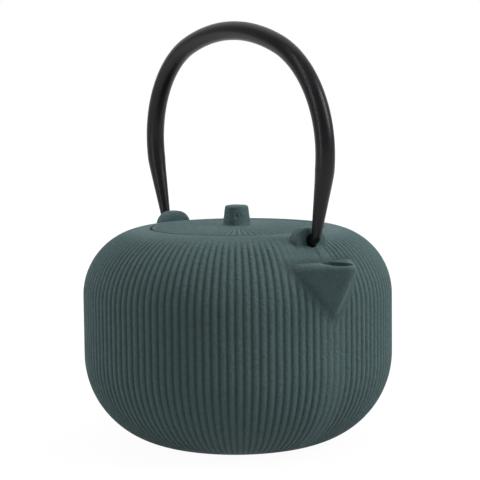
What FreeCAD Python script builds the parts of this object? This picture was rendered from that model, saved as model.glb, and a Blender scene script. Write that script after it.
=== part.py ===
import FreeCAD, Part
import math
import os
import re

import Sketcher
from FreeCAD import Placement, Rotation, Vector

# Cast iron teapot with a swinging bail, a drop-in lid and a strainer basket.
# Origin: middle of the base, on the table. +X points to the spout, +Z up.

# Driving sizes in millimetres, angles in degrees.
SIZES = {
    # Pot, outside
    "pot_radius": 80.0,
    "base_radius": 41.0,
    "belly_low": 46.3,
    "belly_high": 76.6,
    "rim_radius": 46.8,
    "rim_height": 111.0,
    # Ribs: what V grooves leave between them, all round except on a strip below the spout
    "rib_count": 64,
    "rib_gap_count": 3,
    "rib_depth": 0.75,
    "rib_groove_half_width": 1.15,
    "rib_top_radius": 59.0,
    "rib_foot_radius": 56.0,
    "rib_run_out": 9.0,
    "rib_cutter_rise": 0.3,
    # Pot, inside
    "pot_wall": 4.5,
    "floor_thickness": 5.0,
    "cavity_floor_radius": 39.0,
    "cavity_roof_radius": 51.5,
    # Mouth, with the ledge that carries strainer and lid
    "mouth_radius": 44.8,
    "mouth_depth": 4.2,
    "throat_radius": 39.5,
    "throat_depth": 5.0,
    # Spout: a hollow beak with a level top and a rounded keel
    "spout_reach": 97.0,
    "spout_drop": 11.9,
    "spout_depth": 35.1,
    "spout_back": 62.0,
    "spout_half_width": 26.0,
    "spout_nose_radius": 4.0,
    "spout_keel_reach": 74.6,
    "spout_keel_radius": 1.5,
    "spout_wall": 3.5,
    "spout_nose_wall": 5.4,
    "spout_edge_round": 1.8,
    "spout_hole_centre": 82.2,
    "spout_hole_half_length": 10.0,
    "spout_hole_half_width": 6.0,
    # Lugs on the shoulder, with a blind socket for the handle's hook
    "lug_inner": 56.0,
    "lug_thickness": 6.8,
    "lug_half_width": 9.5,
    "lug_corner_radius": 8.0,
    "lug_height": 5.894,
    "lug_sink": 6.406,
    "lug_edge_round": 1.8,
    "pivot_drop": 6.5,
    "socket_radius": 2.9,
    "socket_depth": 5.4,
    "socket_nick": 4.0,
    # Handle: a rolled tube, swaged to a cone at both ends
    "handle_flare": 12.0,
    "handle_widest_rise": 44.2,
    "handle_side_radius": 55.2,
    "handle_crown_rise": 3.6,
    "handle_leg_radius": 65.6,
    "handle_elbow_radius": 4.0,
    "handle_tube_radius": 4.8,
    "handle_tube_wall": 1.2,
    "handle_taper_drop": 9.7,
    "handle_lean": 1.0,
    "socket_clearance": 0.4,
    "hook_end_gap": 1.0,
    # Lid
    "lid_clearance": 0.7,
    "lid_band": 1.8,
    "lid_crown": 1.1,
    "lid_thickness": 4.2,
    "lid_rib_count": 80,
    "lid_rib_depth": 0.6,
    "lid_rib_start": 10.0,
    "lid_rib_end_gap": 0.9,
    "lid_groove_angle": 4.3,
    "lid_cutter_rise": 0.4,
    "lid_skirt_depth": 6.0,
    "lid_skirt_wall": 2.2,
    "lid_skirt_play": 0.6,
    # Knob, riveted through the lid
    "knob_base_radius": 7.3,
    "knob_top_radius": 6.15,
    "knob_length": 10.1,
    "knob_edge_round": 1.3,
    "knob_seat_margin": 0.5,
    "stem_radius": 3.0,
    "stem_clearance": 0.05,
    "rivet_radius": 5.0,
    "rivet_height": 1.6,
    # Strainer basket, from thin steel sheet
    "sheet_thickness": 0.6,
    "flange_play": 1.2,
    "collar_play": 0.8,
    "collar_height": 7.0,
    "basket_depth": 56.0,
    "sleeve_drop": 1.0,
    "band_height": 5.0,
    "band_lip": 3.0,
    "sheet_gap": 0.05,
}


def tangent_arc(run, rise):
    """Radius of an arc that leaves one line at a tangent and ends run across it, rise along it."""
    return f"((({run})^2 + ({rise})^2) / (2 * ({run})))"


# Sizes that follow from the driving ones, as expressions on the sheet.
LOW_ARC = tangent_arc("pot_radius - base_radius", "belly_low")
SHOULDER_ARC = tangent_arc("pot_radius - rim_radius", "rim_height - belly_high")
RIB_ANGLE = "(360 / rib_count)"
LEDGE = "(rim_height - mouth_depth)"
CAVITY = "(pot_radius - pot_wall)"
ROOF = "(rim_height - mouth_depth - throat_depth)"
LID_REST = "(rim_height - mouth_depth + sheet_thickness)"
LID_TOP = "(rim_height + lid_crown)"
LID_UNDER = "(rim_height + lid_crown - lid_thickness)"
COLLAR = "(throat_radius - collar_play)"
SLEEVE = "(throat_radius - collar_play - sheet_thickness - sheet_gap)"
SKIRT = "(throat_radius - collar_play - 2 * sheet_thickness - sheet_gap - lid_skirt_play)"
BASKET_FLOOR = "(rim_height - mouth_depth - basket_depth)"
LUG_SEAT = f"(belly_high + sqrt({SHOULDER_ARC}^2 - (lug_inner - pot_radius + {SHOULDER_ARC})^2))"
LUG_TOP = f"({LUG_SEAT} + lug_height)"
LUG_ROOT = f"({LUG_SEAT} - lug_sink)"
LUG_OUTER = "(lug_inner + lug_thickness)"
PIVOT = f"({LUG_TOP} - pivot_drop)"
SPOUT_TOP = "(rim_height - spout_drop)"
KEEL_FOOT = "(rim_height - spout_drop - spout_depth)"
CHANNEL_BACK = "(spout_back - spout_wall)"
CHANNEL_HALF_WIDTH = "(spout_half_width - spout_wall)"

doc = FreeCAD.newDocument("teapot")
spreadsheet = doc.addObject("Spreadsheet::Sheet", "sizes")
for row, (alias, amount) in enumerate(SIZES.items(), start=1):
    spreadsheet.set(f"A{row}", alias)
    spreadsheet.set(f"B{row}", str(amount))
    spreadsheet.setAlias(f"B{row}", alias)
doc.recompute()


def bind(text):
    """Point every size named in an expression at its cell in the sheet."""
    return re.sub(r"[a-z_]+", lambda word: f"sizes.{word[0]}" if word[0] in SIZES else word[0], text)


def number(text):
    """The present value of an expression on the sheet."""
    return float(spreadsheet.evalExpression(bind(text)))


def new_body(name):
    body = doc.addObject("PartDesign::Body", name)
    body.Label = name
    return body


def datum(body, role):
    """One of the body's own origin planes or axes."""
    return next(item for item in body.Origin.OriginFeatures if item.Role == role)


def new_sketch(body, name, role, lift="0"):
    """A sketch on one of the body's own origin planes, lifted along its normal."""
    sketch = body.newObject("Sketcher::SketchObject", name)
    sketch.AttachmentSupport = [(datum(body, role), "")]
    sketch.MapMode = "FlatFace"
    sketch.setExpression("AttachmentOffset.Base.z", bind(lift))
    return sketch


def tie(sketch, name, constraint, expression):
    """Add a dimension and bind it to the sheet."""
    index = sketch.addConstraint(constraint)
    sketch.renameConstraint(index, name)
    sketch.setExpression(f"Constraints.{name}", bind(expression))


def fix_point(sketch, label, geometry, end, x, y):
    """Hold one end of a line or arc at a place given by two expressions."""
    for axis, kind, expression in ((-2, "DistanceX", x), (-1, "DistanceY", y)):
        if expression == "0":
            sketch.addConstraint(Sketcher.Constraint("PointOnObject", geometry, end, axis))
        else:
            constraint = Sketcher.Constraint(kind, -1, 1, geometry, end, number(expression))
            tie(sketch, f"{label}_{kind[-1]}", constraint, expression)


def arc_between(start, end, radius, side):
    """Arc under a half circle; side 1 has its centre on the left of the way, -1 on the right."""
    chord = end - start
    half = chord.Length / 2
    left = Vector(-chord.y, chord.x, 0).normalize()
    centre = (start + end) / 2 + left * side * math.sqrt(radius**2 - half**2)
    first, last = (start, end) if side > 0 else (end, start)
    angles = [math.atan2(point.y - centre.y, point.x - centre.x) for point in (first, last)]
    return Part.ArcOfCircle(Part.Circle(centre, Vector(0, 0, 1), radius), *angles)


def draw_outline(sketch, corners):
    """Closed outline. A corner is (x, y), or (x, y, radius, side) where an arc leaves it."""
    points = [Vector(number(corner[0]), number(corner[1]), 0) for corner in corners]
    ends = []
    for index, corner in enumerate(corners):
        start, end = points[index], points[(index + 1) % len(points)]
        if len(corner) == 2:
            sketch.addGeometry(Part.LineSegment(start, end))
            ends.append((1, 2))
        else:
            radius, side = corner[2:]
            sketch.addGeometry(arc_between(start, end, number(radius), side))
            ends.append((1, 2) if side > 0 else (2, 1))
    for index, corner in enumerate(corners):
        after = (index + 1) % len(corners)
        joint = Sketcher.Constraint("Coincident", index, ends[index][1], after, ends[after][0])
        sketch.addConstraint(joint)
        fix_point(sketch, f"corner{index}", index, ends[index][0], corner[0], corner[1])
        if len(corner) > 2:
            constraint = Sketcher.Constraint("Radius", index, number(corner[2]))
            tie(sketch, f"arc{index}", constraint, corner[2])


def turn(body, name, corners, kind="PartDesign::Revolution"):
    """Solid or cut of revolution about Z, from an outline of (radius, height)."""
    sketch = new_sketch(body, f"{name}_outline", "XZ_Plane")
    draw_outline(sketch, corners)
    feature = body.newObject(kind, name)
    feature.Profile = sketch
    feature.ReferenceAxis = (sketch, ["V_Axis"])
    feature.Angle = 360
    doc.recompute()
    return feature


def mirror_copy(body, name, original):
    """The same feature again on the other side of the YZ plane."""
    feature = body.newObject("PartDesign::Mirrored", name)
    feature.Originals = [original]
    feature.MirrorPlane = (datum(body, "YZ_Plane"), [""])
    body.Tip = feature
    doc.recompute()
    return feature


def copy_round(body, name, original, angle, count):
    """Copies of a cut, spread evenly over an angle about Z."""
    feature = body.newObject("PartDesign::PolarPattern", name)
    feature.Originals = [original]
    feature.Axis = (datum(body, "Z_Axis"), [""])
    feature.setExpression("Angle", bind(angle))
    feature.setExpression("Occurrences", bind(count))
    feature.Refine = False
    body.Tip = feature
    doc.recompute()


def round_edges(body, name, radius, chosen):
    """Fillet the edges of the body's present shape that the test picks."""
    base = body.Tip
    edges = [f"Edge{i}" for i, edge in enumerate(base.Shape.Edges, start=1) if chosen(edge)]
    feature = body.newObject("PartDesign::Fillet", name)
    feature.Base = (base, edges)
    feature.setExpression("Radius", bind(radius))
    doc.recompute()
    return feature


def ends_of(edge):
    return [edge.valueAt(parameter) for parameter in edge.ParameterRange]


def turn_sketch(sketch, axis, angle):
    """Turn a sketch about one of its own axes, which lies on the pot's axis."""
    offset = sketch.AttachmentOffset
    sketch.AttachmentOffset = Placement(offset.Base, Rotation(axis, number(angle)))
    sketch.setExpression("AttachmentOffset.Rotation.Angle", bind(angle))


def groove_path(body, angle):
    """Bottom line of a groove: along the pot's outline, and straight out of it at both ends."""
    sketch = new_sketch(body, "groove_path", "XZ_Plane")
    turn_sketch(sketch, Vector(0, 1, 0), angle)
    depth, run_out = number("rib_depth"), number("rib_run_out")
    arcs, lines = [], []
    for size, height, end_radius, side in (
            (LOW_ARC, "belly_low", "rib_foot_radius", -1),
            (SHOULDER_ARC, "belly_high", "rib_top_radius", 1)):
        radius = number(size) - depth
        centre = Vector(number("pot_radius") - number(size), number(height), 0)
        bend = math.acos((number(end_radius) - centre.x) / radius)
        end = centre + Vector(math.cos(bend), side * math.sin(bend), 0) * radius
        away = end + Vector(-math.sin(bend), side * math.cos(bend), 0) * run_out
        span = (-bend, 0) if side < 0 else (0, bend)
        arcs.append(Part.ArcOfCircle(Part.Circle(centre, Vector(0, 0, 1), radius), *span))
        lines.append(Part.LineSegment(*((away, end) if side < 0 else (end, away))))
    wall = Part.LineSegment(arcs[0].EndPoint, arcs[1].StartPoint)
    for item in (lines[0], arcs[0], wall, arcs[1], lines[1]):
        sketch.addGeometry(item)
    for index in range(4):
        sketch.addConstraint(Sketcher.Constraint("Tangent", index, 2, index + 1, 1))
    for index, size, height in ((1, LOW_ARC, "belly_low"), (3, SHOULDER_ARC, "belly_high")):
        fix_point(sketch, f"centre{index}", index, 3, f"pot_radius - {size}", height)
        radius = f"{size} - rib_depth"
        tie(sketch, f"arc{index}", Sketcher.Constraint("Radius", index, number(radius)), radius)
    for index, end, alias in ((1, 1, "rib_foot_radius"), (3, 2, "rib_top_radius")):
        constraint = Sketcher.Constraint("DistanceX", -1, 1, index, end, number(alias))
        tie(sketch, alias, constraint, alias)
    for index in (0, 4):
        tie(sketch, f"run_out{index}", Sketcher.Constraint("Distance", index, run_out), "rib_run_out")
    return sketch


def add_ribs(body):
    """V grooves down the pot, cut like a cutter's pass that runs out at both ends."""
    first = f"{RIB_ANGLE} * (rib_gap_count + 1) / 2"
    path = groove_path(body, first)
    profile = new_sketch(body, "groove_profile", "XY_Plane", "belly_low")
    turn_sketch(profile, Vector(0, 0, 1), first)
    draw_outline(profile, [
        ("pot_radius - rib_depth", "0"),
        ("pot_radius", "-rib_groove_half_width"),
        ("pot_radius + rib_cutter_rise", "-rib_groove_half_width"),
        ("pot_radius + rib_cutter_rise", "rib_groove_half_width"),
        ("pot_radius", "rib_groove_half_width"),
    ])
    groove = body.newObject("PartDesign::SubtractivePipe", "groove")
    groove.Profile = profile
    groove.Spine = (path, [])
    groove.Refine = False
    doc.recompute()
    copy_round(body, "grooves", groove, f"{RIB_ANGLE} * (rib_count - rib_gap_count - 1)",
               "rib_count - rib_gap_count")


def draw_beak(body, name, lift, back, half_width, nose_radius, reach):
    """Rounded triangle: two sides that run from the back to a round nose."""
    sketch = new_sketch(body, name, "XY_Plane", lift)
    radius = number(nose_radius)
    root = Vector(number(back), number(half_width), 0)
    centre = Vector(number(reach) - radius, 0, 0)
    way = root - centre
    angle = math.atan2(way.y, way.x) - math.acos(radius / way.Length)
    touch = centre + Vector(math.cos(angle), math.sin(angle), 0) * radius
    low_root = Vector(root.x, -root.y, 0)
    low_touch = Vector(touch.x, -touch.y, 0)
    nose = Part.ArcOfCircle(Part.Circle(centre, Vector(0, 0, 1), radius), -angle, angle)
    sides = [(low_root, low_touch), None, (touch, root), (root, low_root)]
    for side in sides:
        sketch.addGeometry(Part.LineSegment(*side) if side else nose)
    for index, kind in enumerate(("Tangent", "Tangent", "Coincident", "Coincident")):
        sketch.addConstraint(Sketcher.Constraint(kind, index, 2, (index + 1) % 4, 1))
    fix_point(sketch, "root", 3, 1, back, half_width)
    fix_point(sketch, "low_root", 3, 2, back, f"-({half_width})")
    fix_point(sketch, "nose", 1, 3, f"{reach} - ({nose_radius})", "0")
    tie(sketch, "nose_radius", Sketcher.Constraint("Radius", 1, radius), nose_radius)
    return sketch


def loft(body, name, kind, first, second):
    feature = body.newObject(kind, name)
    feature.Profile = first
    feature.Sections = [second]
    feature.Ruled = True
    doc.recompute()
    return feature


def make_spout():
    """Beak with a level top, whose nose runs back to a narrow keel in the pot's wall."""
    body = new_body("spout_casting")
    beak = draw_beak(body, "spout_top", SPOUT_TOP, "spout_back",
                     "spout_half_width", "spout_nose_radius", "spout_reach")
    keel = draw_beak(body, "spout_keel", KEEL_FOOT, "spout_back",
                     "spout_half_width", "spout_keel_radius", "spout_keel_reach")
    loft(body, "spout", "PartDesign::AdditiveLoft", beak, keel)

    def on_top_rim(edge):
        on_top = all(abs(end.z - number(SPOUT_TOP)) < 0.01 for end in ends_of(edge))
        return on_top and max(end.x for end in ends_of(edge)) > number("spout_back") + 0.01

    round_edges(body, "spout_rounding", "spout_edge_round", on_top_rim)
    return body


def make_lugs():
    """Two upright arches on the shoulder, flat on top, in line with the spout."""
    body = new_body("lug_casting")
    body.AllowCompound = True
    sketch = new_sketch(body, "lug_outline", "YZ_Plane", "lug_inner")
    flat = "(lug_half_width - lug_corner_radius)"
    spring = f"({LUG_TOP} - lug_corner_radius)"
    draw_outline(sketch, [
        ("-lug_half_width", LUG_ROOT),
        ("lug_half_width", LUG_ROOT),
        ("lug_half_width", spring, "lug_corner_radius", 1),
        (flat, LUG_TOP),
        (f"-{flat}", LUG_TOP, "lug_corner_radius", 1),
        ("-lug_half_width", spring),
    ])
    lug = body.newObject("PartDesign::Pad", "front_lug")
    lug.Profile = sketch
    lug.setExpression("Length", bind("lug_thickness"))
    doc.recompute()
    mirror_copy(body, "back_lug", lug)

    def on_arch(edge):
        first, last = ends_of(edge)
        return abs(first.x - last.x) < 0.01 and max(first.z, last.z) > number(LUG_ROOT) + 0.01

    round_edges(body, "lug_rounding", "lug_edge_round", on_arch)
    return body


def core_out(body):
    """Tea space, stepped mouth, the spout's channel and mouth, and the lug sockets."""
    turn(body, "tea_space", [
        ("0", "floor_thickness"),
        ("cavity_floor_radius", "floor_thickness",
         tangent_arc(f"{CAVITY} - cavity_floor_radius", "belly_low - floor_thickness"), 1),
        (CAVITY, "belly_low"),
        (CAVITY, "belly_high",
         tangent_arc(f"{CAVITY} - cavity_roof_radius", f"{ROOF} - belly_high"), 1),
        ("cavity_roof_radius", ROOF),
        ("throat_radius", ROOF),
        ("throat_radius", LEDGE),
        ("mouth_radius", LEDGE),
        ("mouth_radius", "rim_height"),
        ("0", "rim_height"),
    ], "PartDesign::Groove")

    channel = draw_beak(body, "channel_top", f"{SPOUT_TOP} - spout_wall", CHANNEL_BACK,
                        CHANNEL_HALF_WIDTH, "spout_keel_radius", "spout_reach - spout_nose_wall")
    foot = draw_beak(body, "channel_foot", f"{KEEL_FOOT} + spout_wall", CHANNEL_BACK,
                     CHANNEL_HALF_WIDTH, "spout_keel_radius", "spout_keel_reach - spout_wall")
    loft(body, "channel", "PartDesign::SubtractiveLoft", channel, foot)

    oval = new_sketch(body, "spout_hole_outline", "XY_Plane", SPOUT_TOP)
    centre = Vector(number("spout_hole_centre"), 0, 0)
    length = Vector(number("spout_hole_half_length"), 0, 0)
    width = Vector(0, number("spout_hole_half_width"), 0)
    oval.addGeometry(Part.Ellipse(centre + length, centre + width, centre))
    oval.exposeInternalGeometry(0)
    fix_point(oval, "centre", 0, 3, "spout_hole_centre", "0")
    fix_point(oval, "long_end", 1, 2, "spout_hole_centre - spout_hole_half_length", "0")
    tie(oval, "half_width", Sketcher.Constraint("Distance", 2, 1, 2, 2, 2 * width.y),
        "2 * spout_hole_half_width")
    hole = body.newObject("PartDesign::Pocket", "spout_hole")
    hole.Profile = oval
    hole.setExpression("Length", bind("2 * spout_wall"))
    doc.recompute()

    circle = new_sketch(body, "socket_outline", "YZ_Plane", f"{LUG_OUTER} + socket_nick")
    circle.addGeometry(Part.Circle(Vector(0, number(PIVOT), 0), Vector(0, 0, 1),
                                   number("socket_radius")))
    fix_point(circle, "pivot", 0, 3, "0", PIVOT)
    tie(circle, "bore", Sketcher.Constraint("Radius", 0, number("socket_radius")), "socket_radius")
    socket = body.newObject("PartDesign::Pocket", "front_socket")
    socket.Profile = circle
    socket.setExpression("Length", bind("socket_depth + socket_nick"))
    doc.recompute()
    mirror_copy(body, "back_socket", socket)


def make_pot_body():
    """The casting: ribbed pot, beak spout and two lugs, with the hollows cored into them."""
    body = new_body("pot_body")
    turn(body, "pot", [
        ("0", "0"),
        ("base_radius", "0", LOW_ARC, 1),
        ("pot_radius", "belly_low"),
        ("pot_radius", "belly_high", SHOULDER_ARC, 1),
        ("rim_radius", "rim_height"),
        ("0", "rim_height"),
    ])
    add_ribs(body)
    casting = body.newObject("PartDesign::Boolean", "casting")
    casting.setObjects([make_spout(), make_lugs()])
    casting.Type = "Fuse"
    casting.Refine = False
    body.Tip = casting
    doc.recompute()
    core_out(body)
    return body


def make_lid():
    """Shallow dome with a plain edge band, and a skirt that centres it in the strainer."""
    body = new_body("lid")
    edge = "(mouth_radius - lid_clearance)"
    band = f"({edge} - lid_band)"
    seat = "(knob_base_radius + knob_seat_margin)"
    bore = "(stem_radius + stem_clearance)"
    skirt_inside = f"({SKIRT} - lid_skirt_wall)"
    turn(body, "lid_plate", [
        (bore, LID_UNDER),
        (skirt_inside, LID_UNDER),
        (skirt_inside, f"{LID_REST} - lid_skirt_depth"),
        (SKIRT, f"{LID_REST} - lid_skirt_depth"),
        (SKIRT, LID_REST),
        (edge, LID_REST),
        (edge, "rim_height"),
        (band, "rim_height", tangent_arc("lid_crown", f"{band} - {seat}"), 1),
        (seat, LID_TOP),
        (bore, LID_TOP),
    ])

    def wedge(name, radius, bottom, top):
        """Cross-section of the groove's cutter, at a radius."""
        sketch = new_sketch(body, name, "YZ_Plane", radius)
        half_width = f"({radius} * tan(lid_groove_angle / 2))"
        draw_outline(sketch, [("0", bottom), (half_width, top), (f"-{half_width}", top)])
        return sketch

    rib_end = f"({band} - lid_rib_end_gap)"
    outside = wedge("groove_outside", rib_end, "rim_height - lid_rib_depth",
                    "rim_height + lid_cutter_rise")
    inside = wedge("groove_inside", "lid_rib_start", LID_TOP, f"{LID_TOP} + lid_cutter_rise")
    groove = loft(body, "groove", "PartDesign::SubtractiveLoft", outside, inside)
    copy_round(body, "grooves", groove, "360", "lid_rib_count")
    return body


def make_lid_knob():
    """Tapered knob with a stem through the lid, spread to a rivet head underneath."""
    body = new_body("lid_knob")
    turn(body, "knob", [
        ("0", f"{LID_UNDER} - rivet_height"),
        ("rivet_radius", f"{LID_UNDER} - rivet_height"),
        ("rivet_radius", LID_UNDER),
        ("stem_radius", LID_UNDER),
        ("stem_radius", LID_TOP),
        ("knob_base_radius", LID_TOP),
        ("knob_top_radius", f"{LID_TOP} + knob_length"),
        ("0", f"{LID_TOP} + knob_length"),
    ])
    top = number(f"{LID_TOP} + knob_length")
    foot = number(f"{LID_UNDER} - rivet_height")
    round_edges(body, "knob_rounding", "knob_edge_round",
                lambda edge: abs(edge.CenterOfMass.z - top) < 0.01 and len(edge.Vertexes) == 1)
    round_edges(body, "rivet_rounding", "rivet_height / 2",
                lambda edge: abs(edge.CenterOfMass.z - foot) < 0.01 and len(edge.Vertexes) == 1)
    return body


def make_strainer():
    """Basket: hung rim, sleeve inside its collar, and a floor clamped on by a band."""
    rim = new_body("strainer_rim")
    flange = "(mouth_radius - flange_play)"
    turn(rim, "rim_ring", [
        (f"{COLLAR} - sheet_thickness", f"{LEDGE} - collar_height"),
        (COLLAR, f"{LEDGE} - collar_height"),
        (COLLAR, LEDGE),
        (flange, LEDGE),
        (flange, f"{LEDGE} + sheet_thickness"),
        (f"{COLLAR} - sheet_thickness", f"{LEDGE} + sheet_thickness"),
    ])
    wall = new_body("strainer_wall")
    turn(wall, "sleeve", [
        (f"{SLEEVE} - sheet_thickness", f"{BASKET_FLOOR} + sheet_thickness + sheet_gap"),
        (SLEEVE, f"{BASKET_FLOOR} + sheet_thickness + sheet_gap"),
        (SLEEVE, f"{LEDGE} - sleeve_drop"),
        (f"{SLEEVE} - sheet_thickness", f"{LEDGE} - sleeve_drop"),
    ])
    floor = new_body("strainer_floor")
    turn(floor, "floor_disc", [
        ("0", BASKET_FLOOR),
        (SLEEVE, BASKET_FLOOR),
        (SLEEVE, f"{BASKET_FLOOR} + sheet_thickness"),
        ("0", f"{BASKET_FLOOR} + sheet_thickness"),
    ])
    band = new_body("strainer_base_band")
    turn(band, "band_ring", [
        (f"{COLLAR} - band_lip", f"{BASKET_FLOOR} - sheet_thickness"),
        (COLLAR, f"{BASKET_FLOOR} - sheet_thickness"),
        (COLLAR, f"{BASKET_FLOOR} + band_height"),
        (f"{COLLAR} - sheet_thickness", f"{BASKET_FLOOR} + band_height"),
        (f"{COLLAR} - sheet_thickness", BASKET_FLOOR),
        (f"{COLLAR} - band_lip", BASKET_FLOOR),
    ])
    return [rim, wall, floor, band]


def handle_path():
    """Half of the handle's centre line, from the crown to the hook, as named edges in XZ."""
    half_width = number(f"{LUG_OUTER} + handle_flare")
    pivot = number(PIVOT)
    widest = pivot + number("handle_widest_rise")
    side_radius = number("handle_side_radius")
    leg_radius = number("handle_leg_radius")
    elbow_radius = number("handle_elbow_radius")

    # Crown arc: rises a little above the two side arcs, and touches both.
    side_centre = Vector(half_width - side_radius, 0, widest)
    rise = number("handle_crown_rise")
    crown_radius = side_radius + (side_centre.x**2 + rise**2) / (2 * rise)
    crown_centre = Vector(0, 0, widest + side_radius + rise - crown_radius)
    crown_turn = math.atan2(side_centre.x, side_centre.z - crown_centre.z)

    # Leg: the common tangent of the leg's long bend and the elbow.
    leg_centre = Vector(half_width - leg_radius, 0, widest)
    elbow_centre = Vector(number(LUG_OUTER), 0, pivot + elbow_radius)
    way = elbow_centre - leg_centre
    lean = math.atan2(-way.z, way.x) - math.acos((leg_radius - elbow_radius) / way.Length)
    taper = math.asin(number("handle_taper_drop") / leg_radius)

    def on(centre, radius, angle):
        """Point on an arc; the angle is measured from +X upwards."""
        return centre + Vector(math.cos(angle), 0, math.sin(angle)) * radius

    def arc(centre, radius, first, last):
        ends = [on(centre, radius, angle) for angle in (first, (first + last) / 2, last)]
        return Part.Arc(*ends).toShape()

    right = math.pi / 2
    leg_top = on(leg_centre, leg_radius, -lean)
    leg_foot = on(elbow_centre, elbow_radius, -lean)
    hook_start = on(elbow_centre, elbow_radius, -right)
    hook_end = Vector(number(f"{LUG_OUTER} - socket_depth + hook_end_gap"), 0, pivot)
    return {
        "tube": [
            arc(crown_centre, crown_radius, right, right - crown_turn),
            arc(side_centre, side_radius, right - crown_turn, 0),
            arc(leg_centre, leg_radius, 0, -taper),
        ],
        "cone": [
            arc(leg_centre, leg_radius, -taper, -lean),
            Part.makeLine(leg_top, leg_foot),
        ],
        "hook": [
            arc(elbow_centre, elbow_radius, -lean, -right),
            Part.makeLine(hook_start, hook_end),
        ],
    }


def ring(edge, parameter, radius):
    """Circle square to an edge."""
    circle = Part.Circle(edge.valueAt(parameter), edge.tangentAt(parameter), radius)
    return Part.Wire([circle.toShape()])


def sweep(edges, first_radius, last_radius):
    """Round bar along edges, straight or tapered."""
    pipe = Part.BRepOffsetAPI.MakePipeShell(Part.Wire(edges))
    pipe.add(ring(edges[0], edges[0].FirstParameter, first_radius))
    if last_radius != first_radius:
        pipe.add(ring(edges[-1], edges[-1].LastParameter, last_radius))
    pipe.build()
    pipe.makeSolid()
    return pipe.shape()


def make_handle():
    """Hollow bail with swaged cones and solid hooks, standing a little off the upright."""
    path = handle_path()
    tube = number("handle_tube_radius")
    hook = number("socket_radius - socket_clearance")
    wall = number("handle_tube_wall")
    outside = [
        sweep(path["tube"], tube, tube),
        sweep(path["cone"], tube, hook),
        sweep(path["hook"], hook, hook),
    ]
    bore = [
        sweep(path["tube"], tube - wall, tube - wall),
        sweep(path["cone"], tube - wall, hook - wall),
    ]

    def both_sides(solids):
        half = solids[0].multiFuse(solids[1:])
        return half.fuse(half.mirror(Vector(), Vector(1, 0, 0))).removeSplitter()

    feature = doc.addObject("Part::Feature", "handle")
    feature.Label = "handle"
    feature.Shape = both_sides(outside).cut(both_sides(bore))
    pivot = Vector(0, 0, number(PIVOT))
    lean = Rotation(Vector(1, 0, 0), number("handle_lean"))
    feature.Placement = Placement(Vector(), lean, pivot)
    return feature


nodes = [make_pot_body(), make_lid(), make_lid_knob(), make_handle(), *make_strainer()]
doc.recompute()

for item in doc.Objects:
    if "Invalid" in item.State or "Error" in item.State:
        raise RuntimeError(f"{item.Name} did not build: {item.State}")
for node in nodes:
    if node.Shape.isNull() or not node.Shape.isValid() or len(node.Shape.Solids) != 1:
        raise RuntimeError(f"{node.Label} is not one valid solid")

os.makedirs("parts", exist_ok=True)
for node in nodes:
    node.Shape.exportStep(f"parts/{node.Label}.step")
    size = node.Shape.optimalBoundingBox()
    print(f"{node.Label}: {size.XLength:.1f} x {size.YLength:.1f} x {size.ZLength:.1f} mm,",
          f"{node.Shape.Volume / 1000:.1f} cm3")
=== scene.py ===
# %% [markdown]
# # A ribbed cast iron teapot
#
# The teapot was first drawn as solids, piece by piece, and packed as a fixed frame.
# This lesson dresses that frame: the ribbed casting, the lid, the knob, the bail and the
# strainer get their surfaces here. All shapes are drawn in millimetres, as on a drawing,
# and scaled to metres when a piece is finished. +X points to the spout and +Z is up.

# %% Load the solids
import math

import bmesh
import bpy
from mathutils import Matrix, Vector, noise
from mathutils.bvhtree import BVHTree


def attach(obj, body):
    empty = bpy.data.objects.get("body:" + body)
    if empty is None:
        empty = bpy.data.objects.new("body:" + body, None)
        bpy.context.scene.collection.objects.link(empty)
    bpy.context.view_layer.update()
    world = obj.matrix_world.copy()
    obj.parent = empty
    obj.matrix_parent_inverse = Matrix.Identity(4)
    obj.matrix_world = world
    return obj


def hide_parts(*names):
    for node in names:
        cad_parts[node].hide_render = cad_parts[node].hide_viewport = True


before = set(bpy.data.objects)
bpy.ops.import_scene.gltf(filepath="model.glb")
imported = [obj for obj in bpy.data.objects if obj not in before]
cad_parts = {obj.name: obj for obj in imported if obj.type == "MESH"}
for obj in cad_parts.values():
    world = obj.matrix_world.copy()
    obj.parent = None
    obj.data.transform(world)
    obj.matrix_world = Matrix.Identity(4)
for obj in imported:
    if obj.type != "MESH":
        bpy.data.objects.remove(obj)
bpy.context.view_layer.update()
MM = 0.001
print("solids:", ", ".join(sorted(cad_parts)))

# %% [markdown]
# ## Camera
#
# The camera looks at the pot from between its side and its spout, from above the lid and
# through a long lens. Its place could be set by eye. Here it was fitted to the outline of
# the pot instead, so it is given by numbers. The pot's axis lies three pixels left of the
# picture's middle, which is the shift.

# %% Camera
CAMERA_AZIMUTH = math.radians(54.4)
CAMERA_DISTANCE = 900 * MM
CAMERA_HEIGHT = 200 * MM
CAMERA_PITCH = math.radians(6.09)
CAMERA_ROLL = math.radians(-0.68)
FOCAL_LENGTH_PIXELS = 1745.7
PICTURE_PIXELS = 480
AXIS_OFFSET_PIXELS = 3.04

camera_data = bpy.data.cameras.new("camera")
camera_data.sensor_width = 36
camera_data.lens = FOCAL_LENGTH_PIXELS * camera_data.sensor_width / PICTURE_PIXELS
camera_data.shift_x = AXIS_OFFSET_PIXELS / PICTURE_PIXELS
camera = bpy.data.objects.new("camera", camera_data)
bpy.context.scene.collection.objects.link(camera)
camera.matrix_world = (
    Matrix.Rotation(CAMERA_AZIMUTH, 4, "Z")
    @ Matrix.Translation((0, -CAMERA_DISTANCE, CAMERA_HEIGHT))
    @ Matrix.Rotation(math.pi / 2 - CAMERA_PITCH, 4, "X")
    @ Matrix.Rotation(CAMERA_ROLL, 4, "Z")
)
bpy.context.scene.camera = camera
print(f"camera: {camera_data.lens:.1f} mm lens")

# %% [markdown]
# ## Materials: four helpers
#
# A colour is written as the hex code that a paint program shows, and one function turns
# it into the linear numbers that a shader needs. A second one adds any node, with its
# settings, and links or values for its inputs. A third starts a material, and the last
# turns a real size in millimetres into the scale of a texture.


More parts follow.
